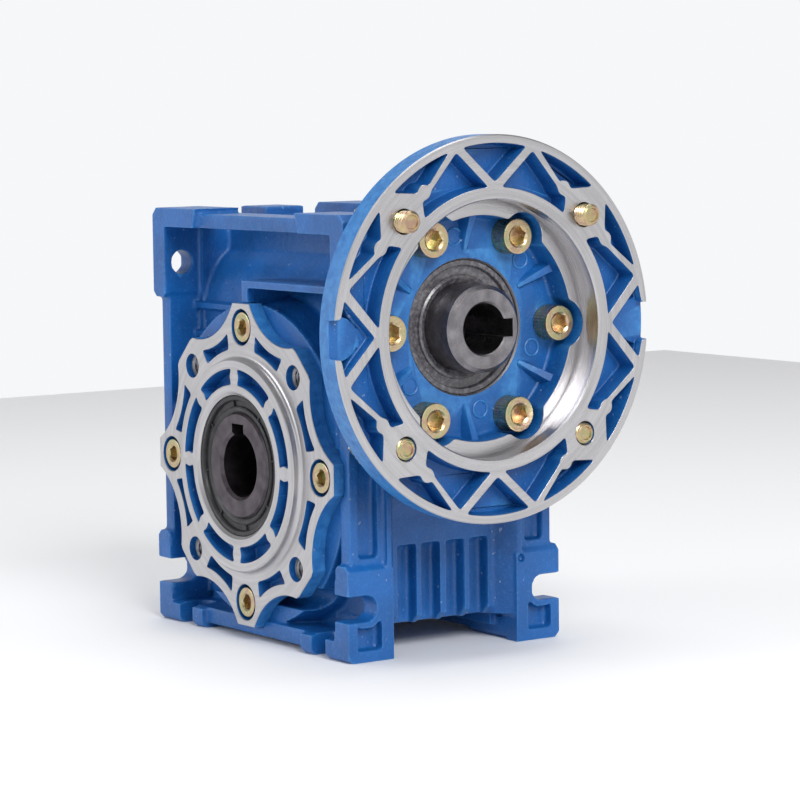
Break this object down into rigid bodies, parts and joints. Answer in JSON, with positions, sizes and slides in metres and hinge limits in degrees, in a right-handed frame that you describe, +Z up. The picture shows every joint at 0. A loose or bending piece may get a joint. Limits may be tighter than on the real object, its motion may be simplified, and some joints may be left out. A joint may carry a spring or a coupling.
{
  "type": "worm gear reducer",
  "caption": "Right-angle worm gear reducer with a hollow keyed output, a hollow keyed input inside a round ribbed motor flange, and a cast body with slotted foot pads.",
  "frame": {"origin": "centre of the output bore, midway between its two ends", "axes": "+X out of the motor flange along the worm axis direction, -Y out of the removable output cover, +Z up from the output axis to the worm axis"},
  "size_m": [0.1238, 0.105, 0.1425],
  "materials": {
    "blue_casting": "blue enamel paint over cast aluminium, satin",
    "machined_cover": "machined faces, blue enamel in the pockets and on the rim",
    "machined_flange": "machined faces, blue enamel in the pockets and on the rim",
    "yellow_zinc": "yellow passivated zinc",
    "black_rubber": "satin",
    "gasket_paper": "matte",
    "shaft_steel": "ground and darkened steel",
    "wheel_bronze": "satin",
    "spring_steel": "satin",
    "cage_steel": "satin",
    "bearing_steel": "polished"
  },
  "bodies": {
    "case": {"housing": "blue_casting", "output_cover": "machined_cover", "cover_screws": "yellow_zinc", "cover_o_ring": "black_rubber", "near_output_seal": "black_rubber", "far_output_seal": "black_rubber", "near_bearing_outer": "bearing_steel", "far_bearing_outer": "bearing_steel", "front_bearing_outer": "bearing_steel", "rear_bearing_outer": "bearing_steel", "rear_snap_ring": "spring_steel", "rear_end_cap": "black_rubber", "input_flange": "machined_flange", "input_seal": "black_rubber", "flange_gasket": "gasket_paper", "flange_screws": "yellow_zinc", "motor_bolts": "yellow_zinc"},
    "wheel": {"output_shaft": "shaft_steel", "worm_wheel": "wheel_bronze", "near_bearing_inner": "bearing_steel", "far_bearing_inner": "bearing_steel"},
    "worm": {"worm_shaft": "shaft_steel", "front_bearing_inner": "bearing_steel", "rear_bearing_inner": "bearing_steel"},
    "near_ball_set": {"near_bearing_balls": "bearing_steel", "near_bearing_cage": "cage_steel"},
    "far_ball_set": {"far_bearing_balls": "bearing_steel", "far_bearing_cage": "cage_steel"},
    "front_ball_set": {"front_bearing_balls": "bearing_steel", "front_bearing_cage": "cage_steel"},
    "rear_ball_set": {"rear_bearing_balls": "bearing_steel", "rear_bearing_cage": "cage_steel"}
  },
  "joints": [
    {"name": "wheel_spin", "type": "hinge", "parent": "case", "child": "wheel", "pos_m": [0, 0, 0], "axis": [0, 1, 0], "continuous": true},
    {"name": "worm_spin", "type": "hinge", "parent": "case", "child": "worm", "pos_m": [0, 0, 0.04], "axis": [1, 0, 0], "continuous": true},
    {"name": "near_ball_spin", "type": "hinge", "parent": "case", "child": "near_ball_set", "pos_m": [0, -0.0254, 0], "axis": [0, 1, 0], "continuous": true},
    {"name": "far_ball_spin", "type": "hinge", "parent": "case", "child": "far_ball_set", "pos_m": [0, 0.0254, 0], "axis": [0, 1, 0], "continuous": true},
    {"name": "front_ball_spin", "type": "hinge", "parent": "case", "child": "front_ball_set", "pos_m": [0.0385, 0, 0.04], "axis": [1, 0, 0], "continuous": true},
    {"name": "rear_ball_spin", "type": "hinge", "parent": "case", "child": "rear_ball_set", "pos_m": [-0.0369, 0, 0.04], "axis": [1, 0, 0], "continuous": true}
  ],
  "couplings": [
    {"joint": "worm_spin", "follows": "wheel_spin", "ratio": -30},
    {"joint": "near_ball_spin", "follows": "wheel_spin", "ratio": 0.4153},
    {"joint": "far_ball_spin", "follows": "wheel_spin", "ratio": 0.4153},
    {"joint": "front_ball_spin", "follows": "wheel_spin", "ratio": -12.851},
    {"joint": "rear_ball_spin", "follows": "wheel_spin", "ratio": -11.632}
  ]
}
